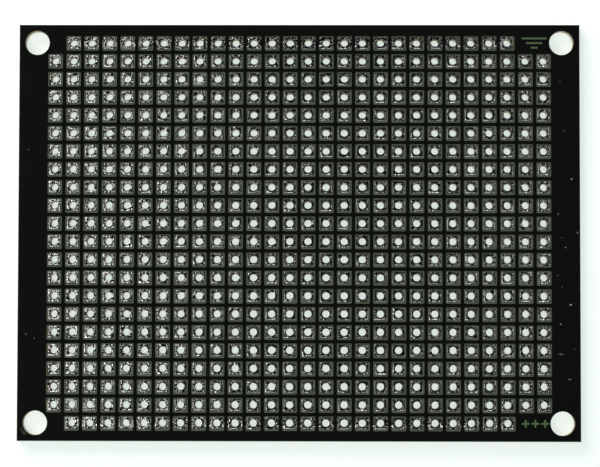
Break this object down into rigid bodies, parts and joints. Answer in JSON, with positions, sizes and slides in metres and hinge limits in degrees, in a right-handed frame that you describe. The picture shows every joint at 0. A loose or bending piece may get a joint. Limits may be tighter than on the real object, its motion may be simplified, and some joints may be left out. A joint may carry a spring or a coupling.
{
  "type": "prototype board",
  "caption": "Single-sided prototype board with a grid of tinned square pads, a bus along each long edge, black solder mask and a mounting hole in each corner.",
  "frame": {"origin": "middle of the underside", "axes": "+X along the rows of pads, +Y across the rows towards the ground bus, +Z out of the pad side"},
  "size_m": [0.0788, 0.0584, 0.0016],
  "materials": {
    "laminate": "bare glass-epoxy laminate, olive, faintly woven",
    "solder_mask": "black solder mask, semi-gloss",
    "tinned_copper": "hot-dipped tin over copper foil, uneven and bright"
  },
  "bodies": {
    "root": {"laminate": "laminate", "solder_mask_front": "solder_mask", "solder_mask_back": "solder_mask", "ground_bus": "tinned_copper", "supply_bus": "tinned_copper", "pad_row_02": "tinned_copper", "pad_row_03": "tinned_copper", "pad_row_04": "tinned_copper", "pad_row_05": "tinned_copper", "pad_row_06": "tinned_copper", "pad_row_07": "tinned_copper", "pad_row_08": "tinned_copper", "pad_row_09": "tinned_copper", "pad_row_10": "tinned_copper", "pad_row_11": "tinned_copper", "pad_row_12": "tinned_copper", "pad_row_13": "tinned_copper", "pad_row_14": "tinned_copper", "pad_row_15": "tinned_copper", "pad_row_16": "tinned_copper", "pad_row_17": "tinned_copper", "pad_row_18": "tinned_copper", "pad_row_19": "tinned_copper", "pad_row_20": "tinned_copper", "pad_row_21": "tinned_copper"}
  },
  "joints": []
}
